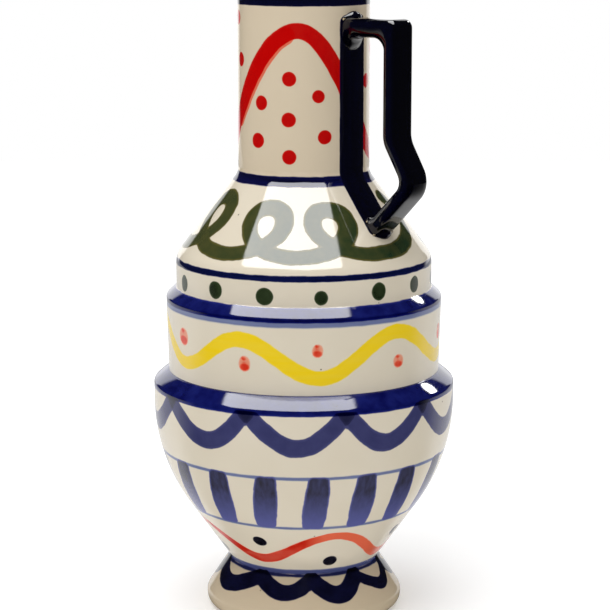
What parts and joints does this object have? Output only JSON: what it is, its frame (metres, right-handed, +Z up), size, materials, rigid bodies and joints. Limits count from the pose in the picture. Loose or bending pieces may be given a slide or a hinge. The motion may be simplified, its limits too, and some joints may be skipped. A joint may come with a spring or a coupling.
{
  "type": "handled vase",
  "caption": "Tall ceramic vase of stepped turned sections on a flared foot, with a straight neck and one angular strap handle, painted in bands of simple brushwork.",
  "frame": {"origin": "on the table, under the vase's axis, at the middle of the foot's resting ring", "axes": "+Z up along the vase's axis, +X towards the handle"},
  "size_m": [0.17, 0.17, 0.36],
  "materials": {
    "painted_glaze": "gloss clear glaze over cream body with brushed underglaze bands",
    "cobalt_glaze": "gloss clear glaze over very dark cobalt",
    "fired_slip": "matt unglazed"
  },
  "bodies": {
    "root": {"foot": "painted_glaze", "foot_slip": "fired_slip", "belly": "painted_glaze", "belly_slip": "fired_slip", "middle_drum": "painted_glaze", "drum_slip": "fired_slip", "shoulder": "painted_glaze", "neck_slip": "fired_slip", "neck": "painted_glaze", "handle": "cobalt_glaze", "handle_upper_slip": "fired_slip", "handle_lower_slip": "fired_slip", "handle_upper_coil": "cobalt_glaze", "handle_lower_coil": "cobalt_glaze"}
  },
  "joints": []
}
